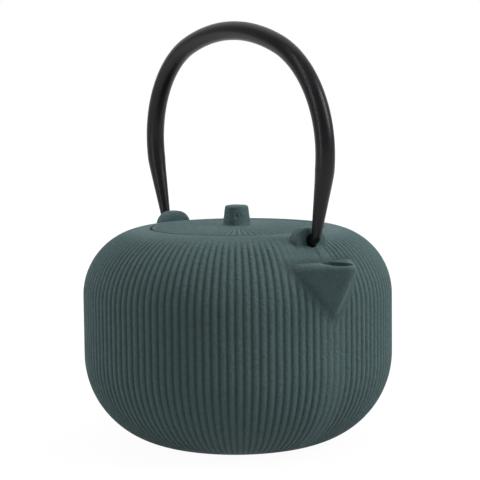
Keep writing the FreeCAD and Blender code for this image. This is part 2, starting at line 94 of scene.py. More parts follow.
# %% Colour and node helpers
def linear(hex_code):
    """Linear RGBA of an sRGB hex code."""
    channels = [int(hex_code[start:start + 2], 16) / 255 for start in (1, 3, 5)]
    return [c / 12.92 if c <= 0.04045 else ((c + 0.055) / 1.055) ** 2.4 for c in channels] + [1]


def add_node(tree, kind, inputs=None, **settings):
    """Add one node. An input is given a value, or another node's socket to link to."""
    node = tree.nodes.new(kind)
    for name, value in settings.items():
        setattr(node, name, value)
    for name, value in (inputs or {}).items():
        if isinstance(value, bpy.types.NodeSocket):
            tree.links.new(value, node.inputs[name])
        else:
            node.inputs[name].default_value = value
    return node


def new_material(name):
    """A new node material, with its tree and its shader."""
    material = bpy.data.materials.new(name)
    material.use_nodes = True
    tree = material.node_tree
    return material, tree, tree.nodes["Principled BSDF"]


def per_metre(millimetres):
    """Texture scale that gives features of about this size."""
    return 1 / (millimetres * MM)


print(f"mid grey #808080 is {linear('#808080')[0]:.3f} in linear light")

# %% [markdown]
# ## Lacquered cast iron
#
# The pot is poured in a sand mould. Its skin keeps the print of the sand, with softer lumps
# and a few pits, and scatters light as matte things do. A grey-green lacquer covers it. Shade
# is painted into its colour, darker down in the grooves and in the corners, where shade falls.
# How deep a point lies in a groove could be guessed from its place. It is stored on the mesh as
# an attribute instead, because the grooves follow the surface. The sand print is bump, because
# it is finer than any mesh here.

# %% Lacquered cast iron: patterns
# Foundry sand is finer than half a millimetre. It is drawn coarser, so that it shows.
SAND_GRAIN = 1.7
CASTING_LUMP = 7.0
PIT_SPACING = 6.0

lacquer, tree, shader = new_material("matte lacquer on sand-cast iron")
place = add_node(tree, "ShaderNodeTexCoord").outputs["Object"]
grain = add_node(tree, "ShaderNodeTexNoise", {
    "Vector": place, "Scale": per_metre(SAND_GRAIN), "Detail": 3, "Roughness": 0.6})
lumps = add_node(tree, "ShaderNodeTexNoise", {
    "Vector": place, "Scale": per_metre(CASTING_LUMP), "Detail": 2, "Roughness": 0.5})
pits = add_node(tree, "ShaderNodeTexVoronoi", {
    "Vector": place, "Scale": per_metre(PIT_SPACING), "Randomness": 1})
pit_shape = add_node(tree, "ShaderNodeMapRange", {
    "Value": pits.outputs["Distance"], "From Min": 0.04, "From Max": 0.11},
    interpolation_type="SMOOTHSTEP")
# The groove attribute holds painted shade: 1 where the colour is darkened most, in grooves, corners
# and gaps.
painted_shade_share = add_node(tree, "ShaderNodeAttribute", attribute_name="groove")

# %% Lacquered cast iron: colour
patch_colour = add_node(tree, "ShaderNodeMix", {
    "Factor": lumps.outputs["Fac"], "A": linear("#455b5c"), "B": linear("#4e6567")},
    data_type="RGBA")
speckle = add_node(tree, "ShaderNodeMapRange", {
    "Value": grain.outputs["Fac"], "From Min": 0.3, "From Max": 0.7,
    "To Min": 0.0, "To Max": 0.35})
skin_colour = add_node(tree, "ShaderNodeMix", {
    "Factor": speckle.outputs["Result"], "A": patch_colour.outputs["Result"],
    "B": linear("#5b7173")}, data_type="RGBA")
# Painted shade: the lacquer colour is mixed towards a dark tone where the groove attribute is high.
painted_shade_strength = add_node(tree, "ShaderNodeMath", {
    0: painted_shade_share.outputs["Fac"], 1: 0.6}, operation="MULTIPLY")
lacquer_colour = add_node(tree, "ShaderNodeMix", {
    "Factor": painted_shade_strength.outputs["Value"], "A": skin_colour.outputs["Result"],
    "B": linear("#222f31")}, data_type="RGBA")
tree.links.new(lacquer_colour.outputs["Result"], shader.inputs["Base Color"])

# %% Lacquered cast iron: gloss and bump
gloss = add_node(tree, "ShaderNodeMapRange", {
    "Value": grain.outputs["Fac"], "From Min": 0.3, "From Max": 0.7,
    "To Min": 0.78, "To Max": 0.64})
tree.links.new(gloss.outputs["Result"], shader.inputs["Roughness"])
soft_bump = add_node(tree, "ShaderNodeBump", {
    "Height": lumps.outputs["Fac"], "Distance": 0.25 * MM, "Strength": 0.6})
sand_bump = add_node(tree, "ShaderNodeBump", {
    "Height": grain.outputs["Fac"], "Distance": 0.8 * MM, "Strength": 1,
    "Normal": soft_bump.outputs["Normal"]})
pit_bump = add_node(tree, "ShaderNodeBump", {
    "Height": pit_shape.outputs["Result"], "Distance": 0.2 * MM, "Strength": 0.7,
    "Normal": sand_bump.outputs["Normal"]})
tree.links.new(pit_bump.outputs["Normal"], shader.inputs["Normal"])
shader.inputs["Specular IOR Level"].default_value = 0.3
print("material:", lacquer.name)

# %% [markdown]
# ## Enamel, black lacquer and steel
#
# Inside, the pot has a black glass enamel that flowed out smooth in the kiln, over a
# slightly wavy casting. The bail is steel tube under a semi-gloss black lacquer, with
# small uneven patches and hairlines from use. The strainer is pressed from thin stainless
# sheet, with a faint grain that lies level. One plain colour each would do from afar. A
# noise in colour, gloss and bump keeps them from looking like plastic up close.

# %% Black enamel
ENAMEL_WAVE = 5.0

enamel, tree, shader = new_material("black glass enamel")
place = add_node(tree, "ShaderNodeTexCoord").outputs["Object"]
waves = add_node(tree, "ShaderNodeTexNoise", {
    "Vector": place, "Scale": per_metre(ENAMEL_WAVE), "Detail": 2})
enamel_colour = add_node(tree, "ShaderNodeMix", {
    "Factor": waves.outputs["Fac"], "A": linear("#101113"), "B": linear("#1b1d1f")},
    data_type="RGBA")
enamel_bump = add_node(tree, "ShaderNodeBump", {
    "Height": waves.outputs["Fac"], "Distance": 0.3 * MM, "Strength": 0.4})
tree.links.new(enamel_colour.outputs["Result"], shader.inputs["Base Color"])
tree.links.new(enamel_bump.outputs["Normal"], shader.inputs["Normal"])
shader.inputs["Roughness"].default_value = 0.26
shader.inputs["Specular IOR Level"].default_value = 0.2
print("material:", enamel.name)

# %% Black lacquered steel
# Real hairlines are far thinner. They are drawn wide, so that they show.
LACQUER_PATCH = 14.0
HAIRLINE_WIDTH = 0.5
HAIRLINE_LENGTH = 12.0

black_lacquer, tree, shader = new_material("semi-gloss black lacquer on steel")
place = add_node(tree, "ShaderNodeTexCoord").outputs["Object"]
patches = add_node(tree, "ShaderNodeTexNoise", {
    "Vector": place, "Scale": per_metre(LACQUER_PATCH), "Detail": 3})
stretch = add_node(tree, "ShaderNodeMapping", {
    "Vector": place, "Scale": (1, 1, HAIRLINE_WIDTH / HAIRLINE_LENGTH)})
hairlines = add_node(tree, "ShaderNodeTexNoise", {
    "Vector": stretch.outputs["Vector"], "Scale": per_metre(HAIRLINE_WIDTH), "Detail": 2})
black_colour = add_node(tree, "ShaderNodeMix", {
    "Factor": patches.outputs["Fac"], "A": linear("#141215"), "B": linear("#1d1a1f")},
    data_type="RGBA")
black_gloss = add_node(tree, "ShaderNodeMapRange", {
    "Value": patches.outputs["Fac"], "From Min": 0.3, "From Max": 0.7,
    "To Min": 0.3, "To Max": 0.4})
black_bump = add_node(tree, "ShaderNodeBump", {
    "Height": hairlines.outputs["Fac"], "Distance": 0.05 * MM, "Strength": 0.35})
tree.links.new(black_colour.outputs["Result"], shader.inputs["Base Color"])
tree.links.new(black_gloss.outputs["Result"], shader.inputs["Roughness"])
tree.links.new(black_bump.outputs["Normal"], shader.inputs["Normal"])
shader.inputs["Specular IOR Level"].default_value = 0.26
print("material:", black_lacquer.name)

# %% Stainless sheet
# The grain of rolled sheet is finer than this. It is drawn coarser, so that it shows.
PRESSING_GRAIN = 0.4
PRESSING_GRAIN_LENGTH = 8.0
GRAIN_SQUEEZE = PRESSING_GRAIN / PRESSING_GRAIN_LENGTH

stainless, tree, shader = new_material("pressed stainless sheet")
place = add_node(tree, "ShaderNodeTexCoord").outputs["Object"]
flatten = add_node(tree, "ShaderNodeMapping", {
    "Vector": place, "Scale": (GRAIN_SQUEEZE, GRAIN_SQUEEZE, 1)})
rolling = add_node(tree, "ShaderNodeTexNoise", {
    "Vector": flatten.outputs["Vector"], "Scale": per_metre(PRESSING_GRAIN), "Detail": 2})
steel_colour = add_node(tree, "ShaderNodeMix", {
    "Factor": rolling.outputs["Fac"], "A": linear("#a9a8a4"), "B": linear("#c3c2bd")},
    data_type="RGBA")
steel_gloss = add_node(tree, "ShaderNodeMapRange", {
    "Value": rolling.outputs["Fac"], "To Min": 0.24, "To Max": 0.4})
steel_bump = add_node(tree, "ShaderNodeBump", {
    "Height": rolling.outputs["Fac"], "Distance": 0.04 * MM, "Strength": 0.3})
tree.links.new(steel_colour.outputs["Result"], shader.inputs["Base Color"])
tree.links.new(steel_gloss.outputs["Result"], shader.inputs["Roughness"])
tree.links.new(steel_bump.outputs["Normal"], shader.inputs["Normal"])
shader.inputs["Metallic"].default_value = 1
print("material:", stainless.name)

# %% [markdown]
# ## Shaping helpers
#
# Most of a teapot is round, so most pieces start as half an outline that is spun about
# the axis. A full spin leaves its seam open and piles points up on the axis, so doubles
# are merged, and then the normals are turned outwards.

# %% Outlines and spins
DOUBLES = 0.001
NEAR = 0.01


def arc(centre, radius, first, last, steps):
    """Points on an arc in the (radius, height) plane, between two angles in degrees."""
    angles = [math.radians(first + (last - first) * step / steps) for step in range(steps + 1)]
    return [(centre[0] + radius * math.cos(a), centre[1] + radius * math.sin(a)) for a in angles]


def spin_into(bm, outline, steps, closed=False):
    """Spin an outline of (radius, height) about Z, as a new shell in the mesh."""
    verts = [bm.verts.new((r, 0, z)) for r, z in outline]
    ends = verts[1:] + verts[:1] if closed else verts[1:]
    edges = [bm.edges.new(pair) for pair in zip(verts, ends)]
    bmesh.ops.spin(bm, geom=verts + edges, axis=(0, 0, 1), cent=(0, 0, 0),
                   angle=math.tau, steps=steps, use_merge=True)
    bmesh.ops.remove_doubles(bm, verts=bm.verts, dist=DOUBLES)
    bmesh.ops.recalc_face_normals(bm, faces=bm.faces)
    return bm


def off_axis(point):
    """Distance of a point from the pot's axis."""
    return math.hypot(point.x, point.y)


def smooth_step(low, high, value):
    """0 below low, 1 above high, and a soft ramp between them."""
    share = min(1, max(0, (value - low) / (high - low)))
    return share * share * (3 - 2 * share)


print("half a soft ramp:", smooth_step(0, 1, 0.5))

# %% [markdown]
# ## Finished pieces
#
# A finished piece is scaled to metres and stays at the origin, as the solids do. It is
# shaded smooth up to a crease angle, rides on the body that carries it, and stands for the
# solid that it replaces.

# %% Objects
CAST_CREASE, STEEL_CREASE = 50, 40


def new_object(name, bm, materials):
    """Turn a bmesh in millimetres into an object in metres, at the origin."""
    bmesh.ops.scale(bm, vec=(MM, MM, MM), verts=bm.verts)
    mesh = bpy.data.meshes.new(name)
    bm.to_mesh(mesh)
    bm.free()
    for material in materials:
        mesh.materials.append(material)
    item = bpy.data.objects.new(name, mesh)
    bpy.context.scene.collection.objects.link(item)
    return item


def dress(item, body, nodes, crease_angle):
    """Shade a finished piece, let it ride on its body and stand for its solids."""
    item.data.shade_smooth()
    item.data.set_sharp_from_angle(angle=math.radians(crease_angle))
    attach(item, body)
    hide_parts(*nodes)
    item.data.calc_loop_triangles()
    print(f"{item.name}: {len(item.data.loop_triangles)} triangles")


# %% [markdown]
# ## The pot's outside
#
# The pot's outline is a flat base, a wide lower curve, a short upright wall and a round
# shoulder. The ribs could be a displacement on a coarse pot, but they would lose their
# edges. So the outline is spun in eight steps to each rib, and the wall sinks between the
# crests. One function tells how deep a point lies under the smooth skin and which way that
# skin faces, and both the ribs and the shade painted into the grooves use it.

# %% The pot's smooth skin
BASE_RADIUS, POT_RADIUS, RIM_RADIUS = 41.0, 80.0, 46.8
BELLY_LOW, BELLY_HIGH, RIM_HEIGHT = 46.3, 76.6, 111.0


def tangent_radius(run, rise):
    """Radius of an arc that leaves a line at a tangent and ends run across, rise along it."""
    return (run**2 + rise**2) / (2 * run)


LOW_ARC = tangent_radius(POT_RADIUS - BASE_RADIUS, BELLY_LOW)
SHOULDER_ARC = tangent_radius(POT_RADIUS - RIM_RADIUS, RIM_HEIGHT - BELLY_HIGH)


def skin(point):
    """Depth of a point under the smooth skin of the pot, and the skin's direction there."""
    radius = off_axis(point)
    if point.z < BELLY_LOW:
        size, height = LOW_ARC, point.z - BELLY_LOW
    elif point.z < BELLY_HIGH:
        return POT_RADIUS - radius, Vector((point.x, point.y, 0)) / radius
    else:
        size, height = SHOULDER_ARC, point.z - BELLY_HIGH
    run = radius - (POT_RADIUS - size)
    reach = math.hypot(run, height)
    out = Vector((point.x * run / radius, point.y * run / radius, height)) / reach
    return size - reach, out


print(f"pot: lower curve of {LOW_ARC:.1f} mm, shoulder of {SHOULDER_ARC:.1f} mm radius")

# %% The pot as a blank
RIBS, STEPS_PER_RIB = 128, 8
LOW_STEPS, WALL_STEPS, SHOULDER_STEPS = 26, 12, 28
low_angle = math.degrees(math.asin(BELLY_LOW / LOW_ARC))
rim_angle = math.degrees(math.asin((RIM_HEIGHT - BELLY_HIGH) / SHOULDER_ARC))
low_curve = arc((POT_RADIUS - LOW_ARC, BELLY_LOW), LOW_ARC, -low_angle, 0, LOW_STEPS)
shoulder = arc((POT_RADIUS - SHOULDER_ARC, BELLY_HIGH), SHOULDER_ARC, 0, rim_angle, SHOULDER_STEPS)
wall = [(POT_RADIUS, BELLY_LOW + (BELLY_HIGH - BELLY_LOW) * step / WALL_STEPS)
        for step in range(1, WALL_STEPS)]
pot = spin_into(bmesh.new(), [(0, 0)] + low_curve + wall + shoulder + [(0, RIM_HEIGHT)],
                RIBS * STEPS_PER_RIB)
print("pot blank:", len(pot.verts), "points")

# %% [markdown]
# ## Spout and lugs
#
# The spout is a beak: a level top with a round nose that runs back to a narrow keel in the
# pot's wall. Two triangles with round noses are its top and its foot, and straight lines
# between them rule the flanks. Bridging the two would leave long twisted faces, so rows of
# points cut the flanks into a fine grid, which bends without a crease. A plain band below
# the top leaves room for its round edge. A lug is a flat face with two beveled corners,
# extruded to its thickness. A second beak, a wall thinner, later cores the spout out.

# %% A beak
NOSE_STEPS, FLANK_STEPS, BEAK_STEPS, TOP_BAND = 8, 24, 24, 0.12


def beak_outline(height, reach, back, half_width, nose):
    """Level triangle with a round nose, as points from its right root to its left root."""
    centre = Vector((reach - nose, 0, height))
    root = Vector((back, half_width, height))
    way = root - centre
    lean = math.atan2(way.y, way.x) - math.acos(nose / way.length)
    turns = [lean * step / NOSE_STEPS for step in range(NOSE_STEPS + 1)]
    bow = [centre + nose * Vector((math.cos(turn), math.sin(turn), 0)) for turn in turns]
    flank = [bow[-1].lerp(root, step / FLANK_STEPS) for step in range(1, FLANK_STEPS + 1)]
    left = bow + flank
    return [Vector((p.x, -p.y, p.z)) for p in left[:0:-1]] + left


def make_beak(top, foot):
    """Closed beak between two outlines, each given by height, reach, back, half width, nose."""
    bm = bmesh.new()
    pairs = list(zip(beak_outline(*foot), beak_outline(*top)))
    shares = [(1 - TOP_BAND) * step / BEAK_STEPS for step in range(BEAK_STEPS + 1)] + [1]
    rows = [[bm.verts.new(low.lerp(high, share)) for low, high in pairs] for share in shares]
    for low, high in zip(rows, rows[1:]):
        for at in range(len(low)):
            bm.faces.new((low[at - 1], low[at], high[at], high[at - 1]))
    bm.faces.new(rows[0])
    bm.faces.new(rows[-1])
    bmesh.ops.recalc_face_normals(bm, faces=bm.faces)
    return bm


# %% Spout
SPOUT_TOP, SPOUT_BACK, SPOUT_HALF_WIDTH = 99.1, 62.0, 26.0
SPOUT_REACH, SPOUT_NOSE, SPOUT_ROUND = 97.0, 4.0, 3.65
KEEL_HEIGHT, KEEL_REACH, KEEL_RADIUS = 64.0, 74.6, 1.5
ROOT_MARGIN = 1

spout = make_beak((SPOUT_TOP, SPOUT_REACH, SPOUT_BACK, SPOUT_HALF_WIDTH, SPOUT_NOSE),
                  (KEEL_HEIGHT, KEEL_REACH, SPOUT_BACK, SPOUT_HALF_WIDTH, KEEL_RADIUS))
top_rim = [edge for edge in spout.edges if min(v.co.z for v in edge.verts) > SPOUT_TOP - NEAR
           and max(v.co.x for v in edge.verts) > SPOUT_BACK + ROOT_MARGIN]
bmesh.ops.bevel(spout, geom=top_rim, affect="EDGES", offset=SPOUT_ROUND, offset_type="OFFSET",
                segments=5, profile=0.5, material=-1)
print("spout: closed" if all(edge.is_manifold for edge in spout.edges) else "spout: open")

# %% Lugs
LUG_INNER, LUG_THICKNESS, LUG_HALF_WIDTH = 56.0, 6.8, 9.5
LUG_TOP, LUG_ROOT, LUG_CORNER, LUG_ROUND = 115.3, 103.0, 8.0, 1.3
LUG_FACING = 0.9


def make_lug(side):
    """Upright arch on the shoulder; side is 1 at the spout and -1 at the back."""
    bm = bmesh.new()
    inner = side * LUG_INNER
    feet = [bm.verts.new((inner, y, LUG_ROOT)) for y in (-LUG_HALF_WIDTH, LUG_HALF_WIDTH)]
    corners = [bm.verts.new((inner, y, LUG_TOP)) for y in (LUG_HALF_WIDTH, -LUG_HALF_WIDTH)]
    bm.faces.new(feet + corners)
    bmesh.ops.bevel(bm, geom=corners, affect="VERTICES", offset=LUG_CORNER,
                    offset_type="OFFSET", segments=10, profile=0.5, material=-1)
    extruded = bmesh.ops.extrude_face_region(bm, geom=bm.faces[:])["geom"]
    outer = [v for v in extruded if isinstance(v, bmesh.types.BMVert)]
    bmesh.ops.translate(bm, vec=(side * LUG_THICKNESS, 0, 0), verts=outer)
    bmesh.ops.recalc_face_normals(bm, faces=bm.faces)
    sides = [face for face in bm.faces if abs(face.normal.x) > LUG_FACING]
    rim = {edge for face in sides for edge in face.edges
           if max(v.co.z for v in edge.verts) > LUG_ROOT + ROOT_MARGIN}
    bmesh.ops.bevel(bm, geom=list(rim), affect="EDGES", offset=LUG_ROUND,
                    offset_type="OFFSET", segments=4, profile=0.5, material=-1)
    return bm


front_lug, back_lug = make_lug(1), make_lug(-1)
print("lugs closed:", [all(edge.is_manifold for edge in lug.edges) for lug in (front_lug, back_lug)])

# %% [markdown]
# ## Ribs and seam
#
# The ribs are shallow, round on their crests and narrow in their grooves. They fade out
# near the lid, on the base and on the shoulder beside the spout, and they are shallower on
# a strip below the spout. A short rough seam of the mould runs from the lug to the spout,
# and a slow noise keeps the skin from looking machined. All of these are worked out as a
# depth at a point, so that they can be added up before a point is moved.

# %% Depth of the grooves and the seam
RIB_DEPTH, CREST_SHARPNESS = 0.75, 1.2
STRIP = (math.radians(2.5), math.radians(7.0))
STRIP_SHARE = 0.6
TOP_FADE, FOOT_FADE = (51.0, 66.0), (43.0, 50.0)
SMOOTH_LEFT = (math.radians(8), math.radians(24))
SMOOTH_RIGHT = (math.radians(2), math.radians(7))
SMOOTH_HEIGHT = (88, 97)
SEAM_DEPTH, SEAM_HALF_WIDTH, SEAM_WANDER, SEAM_WAVE = 0.6, 0.8, 1.6, 3.0
UNEVEN_SIZE, UNEVEN_DEPTH = 16.0, 0.07


def crest(point, ribs):
    """1 on the crest of a rib and 0 in the middle of a groove."""
    return abs(math.sin(math.atan2(point.y, point.x) / math.tau * ribs * math.pi))


def groove_share(point):
    """How much of the full groove depth the skin has at a point."""
    turn = math.atan2(point.y, point.x)
    radius = off_axis(point)
    fade = STRIP_SHARE + (1 - STRIP_SHARE) * smooth_step(*STRIP, abs(turn))
    if point.z > BELLY_HIGH:
        fade *= smooth_step(*TOP_FADE, radius)
        beside = smooth_step(*SMOOTH_LEFT, -turn) + smooth_step(*SMOOTH_RIGHT, turn)
        fade *= 1 - (1 - beside) * smooth_step(*SMOOTH_HEIGHT, point.z)
    if point.z < BELLY_LOW:
        fade *= smooth_step(*FOOT_FADE, radius)
    return (1 - crest(point, RIBS) ** CREST_SHARPNESS) * fade


def seam_depth(point):
    """Depth of the rough seam that the two halves of the mould left between lug and spout."""
    if point.z < SPOUT_TOP or point.x < LUG_INNER + LUG_THICKNESS:
        return 0
    middle = SEAM_WANDER * noise.noise(Vector((point.x / SEAM_WAVE, 0, 0)))
    return SEAM_DEPTH * max(0, 1 - abs(point.y - middle) / SEAM_HALF_WIDTH)


def unevenness(point):
    """Depth of the slow waves that a casting keeps from its mould."""
    return UNEVEN_DEPTH * (0.5 + 0.5 * noise.noise(point / UNEVEN_SIZE))


print("ribs:", RIBS, "grooves", RIB_DEPTH, "mm deep")

# %% [markdown]
# ## Fillets
#
# Metal doesn't fill a sharp inside corner, so the skin rises in a round where the spout and
# the lugs stand on it: a wide one at the spout, a tight one at the lugs. A bevel along the
# joint would have to follow every rib. Here the points near the joint are raised instead,
# by their distance to the spout or the lug, and the spout's flanks swell to meet them.

# %% Height of the fillets
SPOUT_FILLET, LUG_FILLET = (2.8, 0.8), (1.2, 0.5)
FILLET_HIDDEN = 1.0


def fillet_height(point, neighbours):
    """Height of the round that the skin gets beside the spout and the lugs."""
    height = 0
    for surface, (reach, rise) in neighbours:
        found, normal, _, gap = surface.find_nearest(point, reach)
        if found is None:
            continue
        beside = 1 - max(0, normal.z)
        if (point - found).dot(normal) < 0:
            height = max(height, beside * rise * (1 - smooth_step(0, FILLET_HIDDEN, gap)))
        else:
            height = max(height, beside * rise * (1 - gap / reach) ** 2)
    return height


neighbours = [(BVHTree.FromBMesh(spout), SPOUT_FILLET),
              (BVHTree.FromBMesh(front_lug), LUG_FILLET),
              (BVHTree.FromBMesh(back_lug), LUG_FILLET)]
print("fillets:", [reach for _, (reach, _) in neighbours], "mm wide")

# %% Move the skin and the spout's flanks
for vert in pot.verts:
    if off_axis(vert.co) < BASE_RADIUS + NEAR:
        continue
    _, out = skin(vert.co)
    raised = fillet_height(vert.co, neighbours)
    sunk = RIB_DEPTH * groove_share(vert.co) * (1 - min(1, raised / LUG_FILLET[1]))
    sunk += unevenness(vert.co)
    sunk = max(sunk, seam_depth(vert.co))
    vert.co += out * (raised - sunk)

LEVEL_TOP = (0.1, 0.7)
spout.normal_update()
reach, rise = SPOUT_FILLET
for vert in spout.verts:
    depth, _ = skin(vert.co)
    flank = 1 - smooth_step(*LEVEL_TOP, vert.normal.z)
    share = max(0, 1 - max(0, -depth) / reach) ** 2 * flank
    if vert.co.x > SPOUT_BACK + ROOT_MARGIN:
        vert.co += vert.normal * rise * share
print("moved:", len(pot.verts), "points of the pot and", len(spout.verts), "of the spout")

# %% [markdown]
# ## Cores
#
# A foundry makes hollows with sand cores. The inside could be modelled as a second skin, but
# it would have to be sewn to the outside at every opening. Here each core is a closed solid
# that a Boolean takes away: the tea space with the stepped mouth, the spout's channel and
# its oval mouth, and the two lug sockets. The cores carry the enamel as their second
# material, so that the cut faces come out black. The spout's mouth, and all that lies above
# the ledge, get the lacquer of the outside.

# %% Core of the tea space
CAVITY_RADIUS, CAVITY_FLOOR_RADIUS, CAVITY_FLOOR = 75.5, 39.0, 5.0
CAVITY_ROOF_RADIUS, ROOF, LEDGE = 51.5, 101.8, 106.8
THROAT_RADIUS, MOUTH_RADIUS, LIP_ROUND = 39.5, 44.8, 1.2
CORE_RISE, CORE_STEPS = 2, 160
inner_low = tangent_radius(CAVITY_RADIUS - CAVITY_FLOOR_RADIUS, BELLY_LOW - CAVITY_FLOOR)
inner_high = tangent_radius(CAVITY_RADIUS - CAVITY_ROOF_RADIUS, ROOF - BELLY_HIGH)
floor_angle = math.degrees(math.asin((BELLY_LOW - CAVITY_FLOOR) / inner_low))
roof_angle = math.degrees(math.asin((ROOF - BELLY_HIGH) / inner_high))
core_top = RIM_HEIGHT + CORE_RISE
tea_space = spin_into(
    bmesh.new(),
    [(0, CAVITY_FLOOR)]
    + arc((CAVITY_RADIUS - inner_low, BELLY_LOW), inner_low, -floor_angle, 0, 12)
    + arc((CAVITY_RADIUS - inner_high, BELLY_HIGH), inner_high, 0, roof_angle, 10)
    + [(THROAT_RADIUS, ROOF), (THROAT_RADIUS, LEDGE), (MOUTH_RADIUS, LEDGE)]
    + arc((MOUTH_RADIUS + LIP_ROUND, RIM_HEIGHT - LIP_ROUND), LIP_ROUND, 180, 90, 4)
    + [(MOUTH_RADIUS + LIP_ROUND, core_top), (0, core_top)], CORE_STEPS)
print("tea space core:", len(tea_space.faces), "faces")

# %% Cores of the spout
SPOUT_WALL, NOSE_WALL = 3.5, 5.4
HOLE_CENTRE, HOLE_HALF_LENGTH, HOLE_HALF_WIDTH, HOLE_FLARE = 82.2, 10.0, 6.0, 0.5
HOLE_STEPS = 64
channel_root = (SPOUT_BACK - SPOUT_WALL, SPOUT_HALF_WIDTH - SPOUT_WALL, KEEL_RADIUS)
channel = make_beak((SPOUT_TOP - SPOUT_WALL, SPOUT_REACH - NOSE_WALL, *channel_root),
                    (KEEL_HEIGHT + SPOUT_WALL, KEEL_REACH - SPOUT_WALL, *channel_root))

# Outline of the mouth: the radius is a share of the oval, and it flares at the top.
mouth_outline = [
    (0, -2 * SPOUT_WALL), (1, -2 * SPOUT_WALL), (1, -HOLE_FLARE), (1.015, -0.4 * HOLE_FLARE),
    (1.05, 0.05), (1.05, HOLE_FLARE), (0, HOLE_FLARE)]
mouth = spin_into(bmesh.new(), mouth_outline, HOLE_STEPS)
bmesh.ops.transform(mouth, verts=mouth.verts, matrix=(
    Matrix.Translation((HOLE_CENTRE, 0, SPOUT_TOP))
    @ Matrix.Diagonal((HOLE_HALF_LENGTH, HOLE_HALF_WIDTH, 1, 1))))
print("spout cores:", len(channel.faces), "and", len(mouth.faces), "faces")

# %% Cores of the sockets
PIVOT_HEIGHT, SOCKET_RADIUS, SOCKET_DEPTH = 108.8, 2.9, 5.4
SOCKET_LIP, SOCKET_NICK, SOCKET_STEPS = 0.5, 4, 40
LUG_OUTER = LUG_INNER + LUG_THICKNESS
socket_outline = [
    (0, -SOCKET_DEPTH), (SOCKET_RADIUS, -SOCKET_DEPTH), (SOCKET_RADIUS, -SOCKET_LIP),
    (SOCKET_RADIUS + SOCKET_LIP, NEAR), (SOCKET_RADIUS + SOCKET_LIP, SOCKET_NICK), (0, SOCKET_NICK)]
sockets = []
for side in (1, -1):
    socket = spin_into(bmesh.new(), socket_outline, SOCKET_STEPS)
    bmesh.ops.transform(socket, verts=socket.verts, matrix=(
        Matrix.Translation((side * LUG_OUTER, 0, PIVOT_HEIGHT))
        @ Matrix.Rotation(side * math.pi / 2, 4, "Y")))
    sockets.append(socket)
print("socket cores:", len(sockets))


# %% Join the casting and take the cores out
def combine(target, bm, operation, material_index):
    """One Boolean on the casting, applied at once."""
    for face in bm.faces:
        face.material_index = material_index
    tool = new_object("tool", bm, [lacquer, enamel])
    modifier = target.modifiers.new("casting", "BOOLEAN")
    modifier.operation = operation
    modifier.solver = "MANIFOLD"
    modifier.object = tool
    evaluated = target.evaluated_get(bpy.context.evaluated_depsgraph_get())
    joined = bpy.data.meshes.new_from_object(evaluated)
    target.modifiers.clear()
    target.data = joined
    bpy.data.objects.remove(tool)


casting = new_object("pot_casting", pot, [lacquer, enamel])
for added in (spout, front_lug, back_lug):
    combine(casting, added, "UNION", 0)
for core in (tea_space, channel, *sockets):
    combine(casting, core, "DIFFERENCE", 1)
combine(casting, mouth, "DIFFERENCE", 0)
print("casting:", len(casting.data.vertices), "points")

# %% [markdown]
# ## Where shade is painted on the lacquer
#
# Shade is painted into the lacquer where it falls: in the grooves, in the corners at the spout
# and the lugs, and on the inside of the lip. The depth of each point under the smooth skin
# gives the grooves, and its distance to the spout and the lugs gives the corners.

# %% Paint shade into the grooves and corners of the casting
GROOVE_START, SKIN_DEPTH = 0.05, 2
LACQUER_FROM = LEDGE + 0.7
pot_painted_shade = casting.data.attributes.new("groove", "FLOAT", "POINT")
for vert in casting.data.vertices:
    point = vert.co / MM
    if off_axis(point) < BASE_RADIUS:
        continue
    depth, _ = skin(point)
    share = smooth_step(GROOVE_START, RIB_DEPTH, depth) if depth < SKIN_DEPTH else 0
    # Painted shade in the corners beside the spout and the lugs.
    for surface, (reach, _) in neighbours:
        found, _, _, gap = surface.find_nearest(point, reach)
        if found is not None and abs(depth) < reach:
            share = max(share, 1 - max(gap, abs(depth)) / reach)
    # Painted shade on the inside of the lip, at the gap under the lid.
    if point.z > LACQUER_FROM and off_axis(point) < MOUTH_RADIUS + LIP_ROUND / 2:
        share = 1
    pot_painted_shade.data[vert.index].value = share
for face in casting.data.polygons:
    if face.center.z > LACQUER_FROM * MM:
        face.material_index = 0
dress(casting, "pot", ["pot_body"], CAST_CREASE)

# %% [markdown]
# ## Lid
#
# The lid is a shallow dome with a plain edge band and a skirt below. Fine ribs fan out
# from the knob to a thin groove inside the band, so they widen and deepen outwards. They
# could be cut one by one, as in the solid. Sinking the points of a fine spin gives them
# round crests as well, like those on the pot.

# %% Outline of the lid
LID_EDGE, LID_BAND, LID_ROUND = 44.1, 1.8, 0.7
LID_REST, LID_UNDER, LID_TOP = 107.4, 107.9, 112.1
SKIRT_RADIUS, SKIRT_WALL, SKIRT_DEPTH = 36.85, 2.2, 6.0
KNOB_SEAT, STEM_BORE = 7.8, 3.05
LID_GROOVE, DOME_ROWS = 0.45, 26
band_inside = LID_EDGE - LID_BAND
rib_end = band_inside - 2 * LID_GROOVE
dome = tangent_radius(LID_TOP - RIM_HEIGHT, band_inside - KNOB_SEAT)


def dome_height(radius):
    """Height of the lid's smooth top."""
    return LID_TOP - dome + math.sqrt(dome**2 - (radius - KNOB_SEAT) ** 2)


rows = [rib_end - (rib_end - KNOB_SEAT) * row / DOME_ROWS for row in range(DOME_ROWS + 1)]
lid_outline = (
    [(STEM_BORE, LID_UNDER), (SKIRT_RADIUS - SKIRT_WALL, LID_UNDER),
     (SKIRT_RADIUS - SKIRT_WALL, LID_REST - SKIRT_DEPTH), (SKIRT_RADIUS, LID_REST - SKIRT_DEPTH),
     (SKIRT_RADIUS, LID_REST), (LID_EDGE, LID_REST)]
    + arc((LID_EDGE - LID_ROUND, RIM_HEIGHT - LID_ROUND), LID_ROUND, 0, 90, 4)
    + [(band_inside, RIM_HEIGHT), (band_inside - LID_GROOVE, RIM_HEIGHT - LID_GROOVE)]
    + [(radius, dome_height(radius)) for radius in rows]
    + [(STEM_BORE, LID_TOP)])
print("lid outline:", len(lid_outline), "points")

